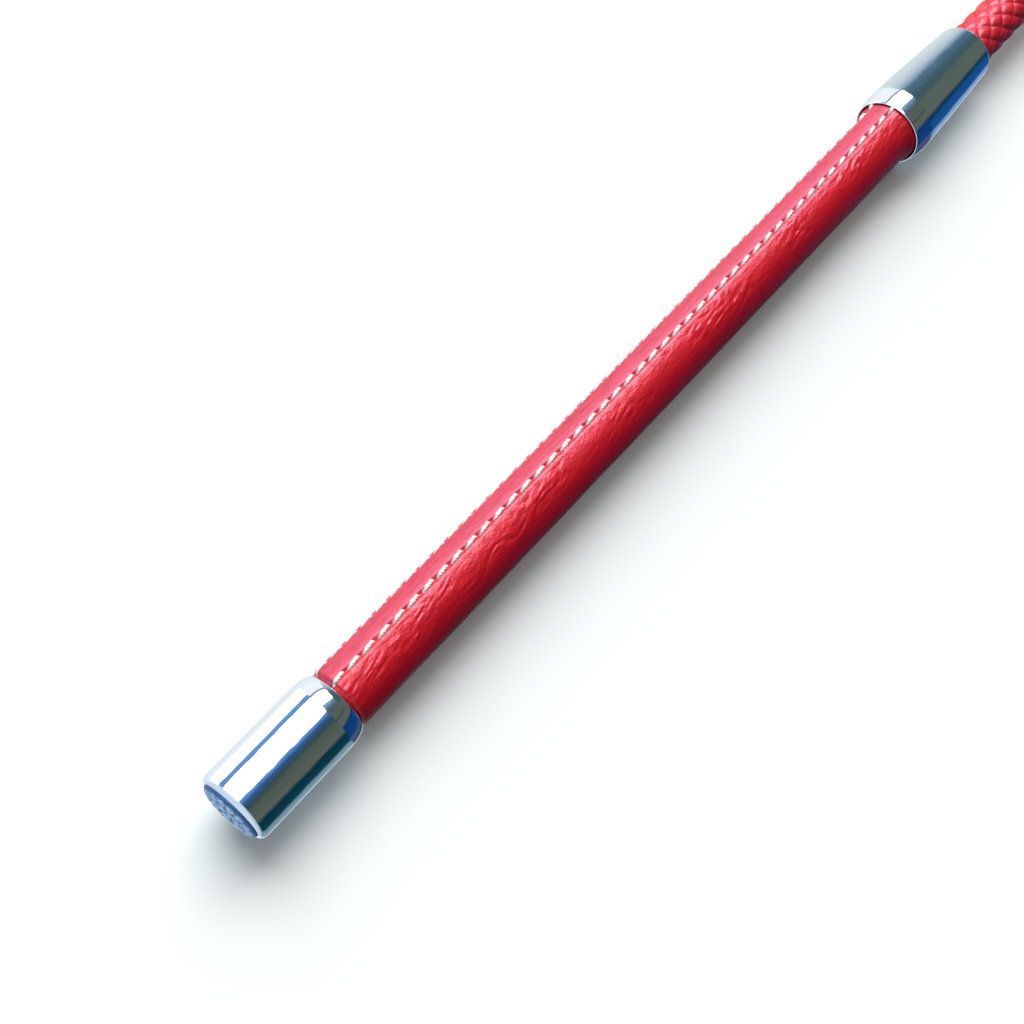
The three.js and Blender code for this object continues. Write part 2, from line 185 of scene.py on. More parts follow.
# ---------------------------------------------------------------------------------------------
# Butt plug: turned from a straight-grained hardwood, bored for the rod and glued on it. The
# cap screw, a plain steel wood screw, holds the chrome cap on its end.
# ---------------------------------------------------------------------------------------------
plug_wood = Look("plug_wood", (0.5, 0.32, 0.16), 0.6)
grain_place = plug_wood.place((0.12, 1, 1))
rings = plug_wood.node("ShaderNodeTexWave", {"wave_type": "RINGS", "rings_direction": "X"},
                       {"Vector": grain_place, "Scale": 0.55, "Distortion": 3.0, "Detail": 3.0})
pores = plug_wood.noise(plug_wood.place((0.3, 6, 6)), 1.0, 3)
wood_tone = rings * 0.7 + pores * 0.3
plug_wood.set("Base Color", plug_wood.mix(wood_tone, (0.36, 0.2, 0.09), (0.62, 0.42, 0.23)))
plug_wood.set("Roughness", 0.5 + pores * 0.25)
plug_wood.relief(pores, 0.08)
dress("butt_plug", plug_wood)

screw_steel = Look("screw_steel", (0.55, 0.54, 0.52), 0.35, Metallic=1.0)
turning = screw_steel.noise(screw_steel.place((9, 1, 1)), 1.0, 2)
screw_steel.set("Roughness", 0.25 + turning * 0.25)
screw_steel.relief(turning, 0.03)
dress("cap_screw", screw_steel)


# ---------------------------------------------------------------------------------------------
# Soft packing: a foam sleeve under the grip, and black rubber for the bush in the ferrule,
# the underlay of the plait and the cap on the rod's tip.
# ---------------------------------------------------------------------------------------------
foam = Look("grip_foam", (0.05, 0.05, 0.052), 0.9)
bubbles = foam.cells(foam.place(), 2.2)
foam.set("Base Color", foam.mix(bubbles, (0.02, 0.02, 0.022), (0.09, 0.09, 0.095)))
foam.relief(bubbles, 0.3)
dress("grip_padding", foam)

packing = Look("packing_rubber", (0.03, 0.03, 0.032), 0.6)
bloom = packing.noise(packing.place(), 0.8, 4)
packing.set("Roughness", 0.45 + bloom * 0.3)
packing.set("Base Color", packing.mix(bloom, (0.02, 0.02, 0.022), (0.05, 0.05, 0.052)))
packing.relief(bloom, 0.05)
for hidden in ("ferrule_bush", "shaft_underlay", "rod_tip_cap"):
    dress(hidden, packing)


# ---------------------------------------------------------------------------------------------
# Butt cap: a cup drawn from brass sheet, with a rolled rim round the end button and a rounded
# shoulder closed in on the leather, then polished and chrome-plated.
# ---------------------------------------------------------------------------------------------
# Places on the crop are given as x, in millimetres along its level axis from the rim of the
# butt, and as a radius and an angle round the axis: 0 degrees looks to +Y and 90 looks up.
cap_low, cap_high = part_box("butt_cap")
RIM = cap_low.x
AXIS_HEIGHT = (cap_low.z + cap_high.z) / 2


def along(node):
    """Where a CAD piece starts and ends along the axis, in mm from the rim."""
    low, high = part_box(node)
    return (low.x - RIM) / MM, (high.x - RIM) / MM


def around(x, radius, degrees):
    """Points in metres from places on the crop in mm and degrees."""
    angle = np.radians(degrees)
    x, radius, angle = np.broadcast_arrays(x, radius, angle)
    across, up = radius * MM * np.cos(angle), radius * MM * np.sin(angle)
    return np.stack([RIM + x * MM, across, AXIS_HEIGHT + up], -1)


def skin(name, grid, look, body, replaced, loop_rows=False, caps=False, sheet=None, masks=None):
    """A piece from a grid of points, rows by columns, as one smooth skin of quads.

    Each row closes on itself, and loop_rows joins the last row to the first. caps fill the first
    and the last row. sheet holds the flat coordinates of each point, and masks the numbers
    stored on the points by name.
    """
    rows, columns = grid.shape[:2]
    index = np.arange(rows * columns).reshape(rows, columns)
    down = np.roll(index, -1, 0) if loop_rows else index[1:]
    here = index if loop_rows else index[:-1]
    quads = np.stack([here, np.roll(here, -1, 1), np.roll(down, -1, 1), down], -1)
    faces = quads.reshape(-1, 4).tolist()
    if caps:
        faces += [index[0, ::-1].tolist(), index[-1].tolist()]
    mesh = bpy.data.meshes.new(name)
    mesh.from_pydata(grid.reshape(-1, 3).tolist(), [], faces)
    for key, values in {"cut": sheet, **(masks or {})}.items():
        if values is None:
            continue
        kind, field = ("FLOAT_VECTOR", "vector") if key == "cut" else ("FLOAT", "value")
        stored = mesh.attributes.new(key, kind, "POINT")
        stored.data.foreach_set(field, np.ascontiguousarray(values, np.float32).ravel())
    finish_piece(name, mesh, look, body, replaced)


def finish_piece(name, mesh, look, body, replaced):
    """Faces outwards, then the piece joins its body and stands for its CAD nodes."""
    mesh.polygons.foreach_set("use_smooth", [True] * len(mesh.polygons))
    mesh.materials.append(look.material)
    work = bmesh.new()
    work.from_mesh(mesh)
    bmesh.ops.recalc_face_normals(work, faces=work.faces)
    work.to_mesh(mesh)
    work.free()
    piece = bpy.data.objects.new(name, mesh)
    bpy.context.scene.collection.objects.link(piece)
    if isinstance(body, str):
        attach(piece, body)
    else:
        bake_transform(piece)
    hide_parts(*replaced)


def arc(centre_x, centre_r, half_x, half_r, start, end, steps):
    """Points [x, radius] of an elliptical arc; 0 degrees is straight out from the axis."""
    angle = np.radians(np.linspace(start, end, steps))
    return np.stack([centre_x + half_x * np.sin(angle), centre_r + half_r * np.cos(angle)], -1)


def turned(outline, sides=160):
    """The grid of a closed outline of [x, radius] points turned round the axis."""
    outline = np.concatenate([np.atleast_2d(part) for part in outline])
    angles = np.arange(sides) * 360 / sides
    return around(outline[:, :1], outline[:, 1:], angles[None, :])


CAP_LENGTH = along("butt_cap")[1]
CAP_RADIUS = (cap_high.z - cap_low.z) / 2 / MM
CAP_WALL = 0.6
CAP_SHOULDER = 4.3
CAP_MOUTH_RADIUS = 7.0
CAP_RIM, CAP_RIM_DEPTH = 1.7, 1.05
CAP_FLOOR = 2.4
SCREW_HOLE = 1.65
MOUTH_ROLL = 0.28
SHOULDER_TURN = math.radians(60)
BUTTON_RADIUS = 6.7
BUTTON_SEAT = BUTTON_RADIUS + 0.05

chrome = Look("chrome_plate", (0.93, 0.95, 0.97), 0.04, Metallic=1.0)
smears = chrome.noise(chrome.place((0.25, 1, 1)), 0.35, 5, 0.6)
wipe_marks = chrome.noise(chrome.place((0.4, 7, 7)), 1.0, 3)
chrome.set("Roughness", 0.025 + smears.rise(0.45, 0.8) * 0.07 + wipe_marks * 0.02)
chrome.relief(chrome.noise(chrome.place((0.2, 0.45, 0.45)), 1.0, 1), 0.05)

drop = (CAP_RADIUS - CAP_MOUTH_RADIUS) / (1 - math.cos(SHOULDER_TURN))
reach = CAP_SHOULDER / math.sin(SHOULDER_TURN)
shoulder_x = CAP_LENGTH - CAP_SHOULDER
inside = CAP_RADIUS - CAP_WALL
barrel_x = np.linspace(2.4, shoulder_x - 0.3, 16)
cap_outline = [
    [CAP_FLOOR, SCREW_HOLE],
    [CAP_FLOOR, 4.0],
    [CAP_FLOOR, BUTTON_SEAT],
    [0.6, BUTTON_SEAT],
    arc(CAP_RIM, CAP_RADIUS - CAP_RIM_DEPTH, CAP_RIM, CAP_RIM_DEPTH, -96, 0, 16),
    np.stack([barrel_x, np.full(barrel_x.size, CAP_RADIUS)], -1),
    arc(shoulder_x, CAP_RADIUS - drop, reach, drop, 0, 56, 18),
    arc(CAP_LENGTH - MOUTH_ROLL, CAP_MOUTH_RADIUS - MOUTH_ROLL, MOUTH_ROLL, MOUTH_ROLL, 40, 160, 7),
    [shoulder_x, inside],
    [CAP_FLOOR + CAP_WALL, inside],
    [CAP_FLOOR + CAP_WALL, SCREW_HOLE],
]
skin("butt_cap_shell", turned(cap_outline), chrome, "crop", ["butt_cap"], loop_rows=True)


# ---------------------------------------------------------------------------------------------
# End button: a domed disc struck with two rings of scallops round a boss, plated, and
# pressed into the rim. Its blue colour is a painted reflection of the bluish room, darker in
# the hollows of the relief and mottled on the tops.
# ---------------------------------------------------------------------------------------------
def smooth(value, low, high):
    """0 below low, 1 above high, and an S curve between them."""
    share = np.clip((np.asarray(value, float) - low) / (high - low), 0, 1)
    return share * share * (3 - 2 * share)


BUTTON_DOME = 1.4
DOME_SHARE = 0.76
STRUCK_DEPTH = 0.3
SPOKES = 264
button_back = along("end_button")[1]


def struck_relief(radius, degrees):
    """Height of the struck pattern, 0 in the hollows and 1 on the tops of its scallops."""
    def scallops(ring, reach, count, turn=0.0):
        across = (radius - ring) / reach
        lobe = np.abs(np.cos(np.radians(degrees * count / 2 + turn)))
        return np.clip(1 - across ** 2, 0, 1) ** 0.6 * (0.25 + 0.75 * lobe ** 0.9)
    petals = scallops(3.0, 1.35, 9)
    shells = scallops(5.3, 1.15, 15, 90)
    boss = smooth(radius, 1.5, 0.8) * 0.8
    return np.clip(np.maximum.reduce(np.broadcast_arrays(petals, shells, boss)), 0, 1)


rings_out = np.linspace(0.02, BUTTON_RADIUS, 90)[:, None]
spokes = (np.arange(SPOKES) * 360 / SPOKES)[None, :]
relief_height = struck_relief(rings_out, spokes)
dome = BUTTON_DOME * np.sqrt(np.clip(1 - (rings_out / (BUTTON_RADIUS * 1.02)) ** 2.6, 0, 1))
face_x = -(dome * DOME_SHARE + relief_height * STRUCK_DEPTH * smooth(rings_out, BUTTON_RADIUS, 6.4))
back_ring = np.array([[0.5, BUTTON_RADIUS], [button_back, BUTTON_RADIUS], [button_back, 0.02]])
button_grid = np.concatenate([
    around(face_x, rings_out, spokes),
    around(back_ring[:, :1], back_ring[:, 1:], spokes),
])
tops = np.concatenate([relief_height, np.zeros((3, spokes.size))])

button_metal = Look("struck_button", (0.6, 0.7, 0.82), 0.25, Metallic=1.0)
high_places = button_metal.mask("tops").rise(0.15, 0.75)
button_mottle = button_metal.noise(button_metal.place(), 1.4, 4)
# Painted reflection: the plated metal is coloured blue, like the bluish room it mirrors, darker in the
# hollows and mottled on the tops.
raised = button_metal.mix(button_mottle.rise(0.38, 0.62), (0.16, 0.33, 0.52), (0.50, 0.66, 0.80))
button_metal.set("Base Color", button_metal.mix(high_places, (0.06, 0.14, 0.30), raised))
button_metal.set("Roughness", 0.40 - high_places * 0.16 + button_mottle * 0.12)
button_metal.relief(button_mottle, 0.06)
skin("end_button_face", button_grid, button_metal, "crop", ["end_button"], caps=True,
     masks={"tops": tops})


# ---------------------------------------------------------------------------------------------
# Butt binding: waxed natural thread, wound in close turns over the leather's end to tie it down
# on the plug. The cap is pushed over it and hides it.
# ---------------------------------------------------------------------------------------------
def wound(x_from, x_to, core, thread, sides=8, steps=48):
    """The grid of a thread of that radius wound close on a round core, one turn by the next."""
    turns = max(1, int((x_to - x_from - 2 * thread) / (2 * thread)))
    t = np.linspace(0, 1, turns * steps + 1)[:, None]
    section = (np.arange(sides) * 360 / sides)[None, :]
    x = x_from + thread + t * (x_to - x_from - 2 * thread)
    lift = core + thread + thread * np.cos(np.radians(section))
    return around(x + thread * np.sin(np.radians(section)), lift, t * turns * 360)


def wound_sheet(grid, thread):
    """Flat coordinates of a wound thread: along it, round it."""
    step = np.linalg.norm(np.diff(grid[:, :1], axis=0), axis=-1) / MM
    run = np.concatenate([[[0]], np.cumsum(step, 0)])
    round_it = np.linspace(0, 2 * math.pi * thread, grid.shape[1])[None, :]
    return np.stack(np.broadcast_arrays(run, round_it, 0), -1)


def twisted_look(name, light, dark, roughness):
    """Waxed thread of two plies: slanting lines along it, painted darker between the plies as shade and
    paler on their tops as a painted highlight.
    """
    look = Look(name, light, roughness)
    lines = look.node("ShaderNodeTexWave", {"wave_type": "BANDS", "bands_direction": "DIAGONAL"},
                      {"Vector": look.cut(), "Scale": 0.9, "Distortion": 0.6, "Detail": 1.0})
    fuzz = look.noise(look.cut((1, 3, 1)), 3.0, 3)
    # Painted light: the lines are darker where the plies part, as shade, and paler on their tops, as a
    # highlight.
    look.set("Base Color", look.mix(lines * 0.75 + fuzz * 0.25, dark, light))
    look.set("Roughness", roughness - 0.1 + fuzz * 0.2)
    return look.relief(lines * 0.7 + fuzz * 0.3, 0.08)


natural_thread = twisted_look("natural_thread", (0.72, 0.66, 0.52), (0.42, 0.36, 0.26), 0.6)
tie_from, tie_to = along("butt_binding")
TIE_CORE = 6.42
TIE_THREAD = 0.4
tie = wound(tie_from, tie_to, TIE_CORE, TIE_THREAD)
skin("butt_binding_thread", tie, natural_thread, "crop", ["butt_binding"], caps=True,
     sheet=wound_sheet(tie, TIE_THREAD))


# ---------------------------------------------------------------------------------------------
# Grip leather: one red skin, glued round the foam and lapped on itself. The lap is a smooth
# flat band held by a row of stitches at each edge. The leather puffs up beside the stitches,
# creases where it turns down from them, and is squeezed under the cap.
# ---------------------------------------------------------------------------------------------
LEATHER_OUTER = 7.05
LEATHER_INNER = 6.05
LAP_OUTER = 7.45
LAP_EDGE = 40.0
LAP_STEP = (92.0, 165.0)
LAP_FLOOR = 6.67
FLAP_END = 100          # degrees at which the flap under the lap ends
NEEDLE_GROOVE, NEEDLE_HOLE, PUFF = 0.24, 0.5, 0.12
STITCH_PITCH = 4.233
STITCH_FIRST = 31.9
STITCH_LENGTH = 3.95
STITCH_SLANT, STITCH_DIVE = 0.34, 0.6
INNER_ROW, OUTER_ROW = 88.0, 45.5
FERRULE_START, FERRULE_END = along("ferrule")
leather_from, leather_to = along("grip_leather")


def lattice_noise(u, v, seed):
    """Smooth noise from -1 to 1 over a sheet, with about one bump to a unit."""
    values = np.random.default_rng(seed).uniform(-1, 1, (256, 256))
    i, j = np.floor(u).astype(int), np.floor(v).astype(int)
    su, sv = smooth(u - i, 0, 1), smooth(v - j, 0, 1)
    at = lambda a, b: values[a % 256, b % 256]
    near = at(i, j) * (1 - su) + at(i + 1, j) * su
    far = at(i, j + 1) * (1 - su) + at(i + 1, j + 1) * su
    return near * (1 - sv) + far * sv


def squeeze(x):
    """How much narrower the grip is at x: squeezed in the cap, swollen in the ferrule's mouth."""
    squeezed = 0.85 + 0.15 * smooth(x, CAP_LENGTH - 0.1, CAP_LENGTH + 1.0)
    return squeezed + 0.045 * np.exp(-(((x - FERRULE_START - 0.5) / 2.0) ** 2))


def stitch_dents(x, degrees):
    """Dents of both stitch rows in mm: a groove, deeper at each needle hole, puffed beside."""
    total = 0
    phase = (x - STITCH_FIRST) / STITCH_PITCH
    from_hole = (phase - np.round(phase)) * STITCH_PITCH
    running = smooth(x, CAP_LENGTH - 2, CAP_LENGTH)
    for row, side in ((INNER_ROW, 1), (OUTER_ROW, -1)):
        off = np.radians(degrees - row) * LAP_OUTER
        groove = NEEDLE_GROOVE * np.exp(-((off / 0.4) ** 2))
        hole = NEEDLE_HOLE * np.exp(-((off / 0.4) ** 2) - (from_hole / 0.42) ** 2)
        beside = np.exp(-(((np.abs(off) - 1.05) / 0.6) ** 2))
        pillow = PUFF * beside * (0.35 + 0.65 * np.cos(math.pi * from_hole / STITCH_PITCH) ** 2)
        outward = 0.75 if side > 0 else -0.5
        total = total - groove - hole + pillow * np.where(off * side > 0, outward, 0.55)
    return total * running


def creases(x, arc_mm, degrees):
    """Short slanting creases below the inner row, and long soft folds round the rest, in mm."""
    slant = arc_mm + x * 0.27
    warp = lattice_noise(x / 7, arc_mm / 4, 11) * 0.8
    fine = lattice_noise(x / 1.5, slant / 0.55 + warp, 12)
    wide = lattice_noise(x / 7, slant / 1.5 + warp, 13)
    patches = smooth(lattice_noise(x / 11, arc_mm / 6 + 3, 14), -0.45, 0.25)
    near_row = smooth(degrees, 96, 103) * smooth(degrees, 148, 122)
    lower = smooth(degrees, 108, 122) * smooth(degrees, 175, 140)
    around_rest = smooth(degrees, 125, 150) * smooth(degrees, 385, 350)
    return (0.11 * fine * near_row * (0.25 + 0.75 * patches)
            - 0.10 * (1 - np.abs(wide)) ** 4 * (near_row + 0.55 * lower) * (0.25 + 0.75 * patches)
            - 0.03 * (1 - np.abs(wide)) ** 5 * around_rest
            + 0.04 * lattice_noise(x / 11, arc_mm / 3.5, 17))


def grain_side(x, degrees):
    """Radius of the leather's outside before it is squeezed."""
    lap = 1 - smooth(degrees, *LAP_STEP)
    radius = LEATHER_OUTER + (LAP_OUTER - LEATHER_OUTER) * lap
    edge = np.clip((degrees - LAP_EDGE) / 2.2, 0, 1)
    radius = radius - 0.28 * (1 - np.sqrt(1 - (1 - edge) ** 2))
    tucked = smooth(degrees, LAP_EDGE + 318, LAP_EDGE + 348)
    at_mouth = np.exp(-(((x - FERRULE_START) / 2.4) ** 2))
    radius = radius - 0.45 * tucked * (1 - at_mouth) + 0.34 * (1 - lap) * at_mouth
    arc_mm = np.radians(degrees) * LEATHER_OUTER
    return radius + stitch_dents(x, degrees) + creases(x, arc_mm, degrees) * smooth(degrees, 88, 94)


stations = np.arange(leather_from, leather_to, STITCH_PITCH / 10)[:, None]
angles = np.concatenate([
    LAP_EDGE + np.array([0, 0.15, 0.6, 1.4]),
    np.arange(LAP_EDGE + 2.4, 53, 1.3),
    np.arange(54, 80, 3.0),
    np.arange(80.5, 142, 1.3),
    np.arange(143.5, 180, 2.0),
    np.arange(182, LAP_EDGE + 356, 4.5),
    np.arange(LAP_EDGE + 356, LAP_EDGE + 364, 2.0),
])[None, :]
under_lap = np.linspace(FLAP_END - 1, LAP_EDGE, 14)[None, :]
flesh = np.linspace(LAP_EDGE + 363, FLAP_END + 1, 48)[None, :]
grip_radius = np.concatenate([
    grain_side(stations, angles),
    np.broadcast_to(LEATHER_INNER, (stations.size, flesh.size)),
    np.broadcast_to(LAP_FLOOR, (stations.size, under_lap.size)),
], axis=1) * squeeze(stations)
grip_angle = np.broadcast_to(np.concatenate([angles, flesh, under_lap], axis=1), grip_radius.shape)
grip_grid = around(stations, grip_radius, grip_angle)
grip_sheet = np.stack(np.broadcast_arrays(stations, np.radians(grip_angle) * LEATHER_OUTER, 0), -1)
band = smooth(grip_angle, 38, 46) * smooth(grip_angle, 90, 85)
hem = np.clip(1 - np.abs(grip_angle - LAP_EDGE) / 1.0, 0, 1)

RED = (0.72, 0.005, 0.018)
DEEP_RED = (0.52, 0.003, 0.012)


def red_leather(name, roughness):
    """Dyed and glazed leather, with the patterns its finish is mixed from: pebbled grain, fine
    grain, clouds in the dye and streaks along the hide."""
    look = Look(name, RED, roughness, Specular_IOR_Level=0.5)
    where = look.cut()
    pebbles = look.cells(look.cut((1.5, 2.1, 1)), 1.0)
    fine_grain = look.noise(where, 3.2, 4, 0.65)
    clouds = look.noise(where, 0.09, 4)
    streaks = look.noise(look.cut((0.12, 2.2, 1)), 1.0, 4)
    return look, pebbles, fine_grain, clouds, streaks


grip_look, pebbles, fine_grain, clouds, streaks = red_leather("grip_leather_red", 0.42)
on_band = grip_look.mask("band")
cut_edge = grip_look.mask("hem")
dye = grip_look.mix((clouds * 0.6 + streaks * 0.4).rise(0.25, 0.75), DEEP_RED, RED)
dye = grip_look.mix(0.55, dye, RED)
mottle = grip_look.noise(grip_look.cut((0.45, 1.3, 1)), 1.0, 5, 0.65)
band_tone = (streaks * 0.5 + mottle * 0.5).rise(0.34, 0.66)
# Painted light on the lap band: a darker red than the rest of the hide, as painted shade against the
# strong light on the top, and pinker, as a painted sheen.
band_painted_sheen = grip_look.mix(band_tone, (0.38, 0.010, 0.036), (0.56, 0.040, 0.078))
# From here dye also carries the band's painted shade and sheen.
dye = grip_look.mix(on_band, dye, band_painted_sheen)
grip_look.set("Base Color", grip_look.mix(cut_edge, dye, (0.3, 0.05, 0.06)))
grip_look.set("Roughness", 0.24 + on_band * 0.14 + fine_grain * 0.14 + clouds * 0.06)
band_grain = streaks * 0.5 + fine_grain * 0.25
wrinkles = 1 - (grip_look.noise(grip_look.cut((0.3, 1.1, 1)), 1.0, 3) * 2 - 1).math("ABSOLUTE")
open_grain = (1 - pebbles) * 0.4 + fine_grain * 0.3 + wrinkles * 0.8
grip_look.relief(band_grain * on_band + open_grain * (1 - on_band), 0.12)
skin("grip_leather_wrap", grip_grid, grip_look, "crop", ["grip_leather"], caps=True,
     sheet=grip_sheet, masks={"band": band, "hem": hem})


# ---------------------------------------------------------------------------------------------
# Grip stitching: white waxed thread in two rows through both layers of the lap, six stitches
# to the inch. Each stitch lies a little aslant and dives into the leather at both ends.
# ---------------------------------------------------------------------------------------------
def stitch_row(name, middles, length, thread, path, look, body, replaced):
    """A row of separate stitches. path gives the point at a distance along and aside of a row."""
    rings, sides = 19, 12
    t = np.linspace(-1, 1, rings)[:, None]
    section = np.radians(np.arange(sides) * 360 / sides)[None, :]
    plies = 1 + 0.13 * np.cos(2 * section - t * 7.5)
    girth = np.clip(1 - np.abs(t) ** 3, 0, 1) ** 0.6 * 0.94 + 0.06
    points, faces, sheets = [], [], []
    for number, middle in enumerate(middles):
        wobble = math.sin(number * 2.4) * 0.05
        run = middle + t * length / 2 + wobble
        sink = STITCH_DIVE * np.abs(t) ** 3.4
        aside = -STITCH_SLANT * t + 1.012 * thread * girth * plies * np.cos(section)
        up = thread * girth * plies * np.sin(section) * 0.9 - sink
        grid = path(run + 0 * section, aside, up)
        first = len(points) * rings * sides
        index = np.arange(rings * sides).reshape(rings, sides) + first
        here, down = index[:-1], index[1:]
        quads = np.stack([here, np.roll(here, -1, 1), np.roll(down, -1, 1), down], -1)
        faces += quads.reshape(-1, 4).tolist() + [index[0, ::-1].tolist(), index[-1].tolist()]
        points.append(grid.reshape(-1, 3))
        sheets.append(np.stack(np.broadcast_arrays(run, section * thread, 0.0), -1).reshape(-1, 3))
    mesh = bpy.data.meshes.new(name)
    mesh.from_pydata(np.concatenate(points).tolist(), [], faces)
    stored = mesh.attributes.new("cut", "FLOAT_VECTOR", "POINT")
    stored.data.foreach_set("vector", np.concatenate(sheets).astype(np.float32).ravel())
    finish_piece(name, mesh, look, body, replaced)


white_thread = twisted_look("white_thread", (0.88, 0.82, 0.78), (0.64, 0.58, 0.53), 0.55)
THREAD = 0.47
last_stitch = int((FERRULE_START - STITCH_FIRST) / STITCH_PITCH)
middles = [STITCH_FIRST + STITCH_PITCH * (k + 0.5) for k in range(-1, last_stitch + 1)]
for row_name, row_angle in (("inner", INNER_ROW), ("outer", OUTER_ROW)):
    def on_grip(x, aside, up, row_angle=row_angle):
        radius = (LAP_OUTER + 0.02 + up) * squeeze(x)
        return around(x, radius, row_angle + np.degrees(aside / LAP_OUTER))
    stitch_row(f"stitches_{row_name}", middles, STITCH_LENGTH, THREAD, on_grip, white_thread, "crop",
               [f"stitch_row_{row_name}"])


# ---------------------------------------------------------------------------------------------
# Ferrule: a conical chrome-plated collar. It swells a little behind its rounded mouth, which
# fits close round the grip, and its small end is rounded down onto the plait.
# ---------------------------------------------------------------------------------------------
ferrule_low, ferrule_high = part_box("ferrule")
FERRULE_RADIUS = (ferrule_high.y - ferrule_low.y) / 2 / MM
FERRULE_WIDEST = FERRULE_START + 5.4
FERRULE_MOUTH, FERRULE_BORE, FERRULE_SMALL = 8.42, 7.75, 7.3
FERRULE_LIP = 0.2
FERRULE_WALL = 0.65
END_ROUND = 1.1
BRAID_RADIUS, BRAID_TIP_RADIUS = 5.8, 3.75
braid_from, braid_to = along("braid_cover")


def plait_radius(x):
    """Outside radius of the plaited shaft, which tapers from the ferrule to the tip."""
    taper = (BRAID_TIP_RADIUS - BRAID_RADIUS) * (x - FERRULE_END) / (braid_to - FERRULE_END)
    return BRAID_RADIUS + taper


def cone(x):
    """Outside radius of the ferrule."""
    to_mouth = np.clip((FERRULE_WIDEST - x) / (FERRULE_WIDEST - FERRULE_START), 0, 1)
    to_end = np.clip((x - FERRULE_WIDEST) / (FERRULE_END - FERRULE_WIDEST), 0, 1)
    return (FERRULE_RADIUS - (FERRULE_RADIUS - FERRULE_MOUTH) * to_mouth ** 2
            - (FERRULE_RADIUS - FERRULE_SMALL) * to_end ** 1.25)


fall = FERRULE_END - END_ROUND
cone_x = np.linspace(FERRULE_START + 0.5, fall - 0.2, 60)
wall_x = np.linspace(fall - 1, FERRULE_START + 2.2, 12)
ferrule_outline = [
    arc(FERRULE_START + FERRULE_LIP, FERRULE_MOUTH - FERRULE_LIP, FERRULE_LIP, FERRULE_LIP, -130, -15, 9),
    np.stack([cone_x, cone(cone_x)], -1),
    arc(fall, cone(fall) - END_ROUND, END_ROUND, END_ROUND, 4, 84, 12),
    [FERRULE_END - 0.15, BRAID_RADIUS + 0.22],
    [FERRULE_END - 0.6, BRAID_RADIUS + 0.22],
    np.stack([wall_x, cone(wall_x) - FERRULE_WALL], -1),
    [FERRULE_START + 1.5, FERRULE_BORE],
]
skin("ferrule_collar", turned(ferrule_outline), chrome, "crop", ["ferrule"],
     loop_rows=True)


# ---------------------------------------------------------------------------------------------
# Shaft cover: sixteen red leather strands plaited over and under each other round the shaft,
# rolled until they lie flat, and glazed. It is drawn as one skin: at each place the upper of
# the two crossing strands shows, as a pillow between the grooves where it dives.
# ---------------------------------------------------------------------------------------------
STRANDS = 16
SLANT = math.radians(39)
PLAIT_DEPTH = 0.5
PLAIT_WALL = 0.95
run_x = np.arange(braid_from, braid_to + 0.15, 0.3)[:, None]
turn_rate = math.tan(SLANT) / plait_radius(run_x[:, 0])
turned_in_step = (turn_rate[1:] + turn_rate[:-1]) / 2 * np.diff(run_x[:, 0])
turned_by = np.concatenate([[0], np.cumsum(turned_in_step)])[:, None]
run_angle = (np.arange(160) * 2.25)[None, :]
strand_turn = 4 * math.pi / STRANDS
right_hand = (np.radians(run_angle) + turned_by) / strand_turn
left_hand = (np.radians(run_angle) - turned_by) / strand_turn
upper = (np.floor(right_hand) + np.floor(left_hand)) % 2 < 1
across_right = (right_hand % 1) * 2 - 1
across_left = (left_hand % 1) * 2 - 1
across = np.where(upper, across_right, across_left)
length = np.where(upper, across_left, across_right)
pillow = (1 - 0.75 * np.abs(across) ** 3.5) * (1 - 0.8 * np.abs(length) ** 2.4)
groove = smooth(np.maximum(np.abs(across), np.abs(length)), 0.8, 1.0)
strand_tone = lattice_noise(np.floor(right_hand) * 0.7 + 0.3, np.floor(left_hand) * 0.7 + 0.6, 31)
plait_grid = around(run_x, plait_radius(run_x) + 0.02 - PLAIT_DEPTH * (1 - pillow), run_angle)
along_strand = np.where(upper, left_hand, right_hand) * 5.6
plait_sheet = np.stack([along_strand, across * 1.7 + upper * 9, np.broadcast_to(0.0, across.shape)], -1)
inner_face = around(run_x, plait_radius(run_x) - PLAIT_WALL, run_angle)

braid_look, _, fine_grain, clouds, streaks = red_leather("plait_leather_red", 0.24)
in_groove, tone = braid_look.mask("groove"), braid_look.mask("tone")
strand_dye = (tone * 0.7 + clouds * 0.3).rise(0.1, 0.9)
braid_dye = braid_look.mix(strand_dye, (0.56, 0.004, 0.012), (0.72, 0.012, 0.026))
# Painted shade: the grooves where the strands dive are coloured a darker red.
braid_look.set("Base Color", braid_look.mix(in_groove, braid_dye, (0.36, 0.002, 0.008)))
braid_look.set("Roughness", 0.3 + fine_grain * 0.16 + in_groove * 0.12)
braid_look.relief(fine_grain * 0.6 + streaks * 0.4, 0.03)
plait_ends = np.concatenate([inner_face[:1], plait_grid, inner_face[-1:], inner_face[::-1][1:-1:8]])
pad = len(plait_ends) - len(plait_grid)


def with_inside(values):
    """The same numbers for the rows of the inner face, which follow the outer ones."""
    return np.concatenate([values[:1], values, np.repeat(values[-1:], pad - 1, 0)])


skin("plaited_cover", plait_ends, braid_look, "crop", ["braid_cover"], loop_rows=True,
     sheet=with_inside(plait_sheet),
     masks={"groove": with_inside(groove), "tone": with_inside(strand_tone * 0.5 + 0.5)})


# ---------------------------------------------------------------------------------------------
# Tip binding: waxed dark red thread whipped close over the end of the plait and the start of
# the keeper's neck.
# ---------------------------------------------------------------------------------------------
binding_from, binding_to = along("tip_binding")
whip_thread = twisted_look("whipping_thread", (0.20, 0.008, 0.018), (0.08, 0.003, 0.008), 0.45)
WHIP_THREAD = 0.33
whip = wound(binding_from, binding_to, plait_radius(binding_from) - 0.02, WHIP_THREAD)
skin("tip_whipping", whip, whip_thread, "crop", ["tip_binding"], caps=True,
     sheet=wound_sheet(whip, WHIP_THREAD))


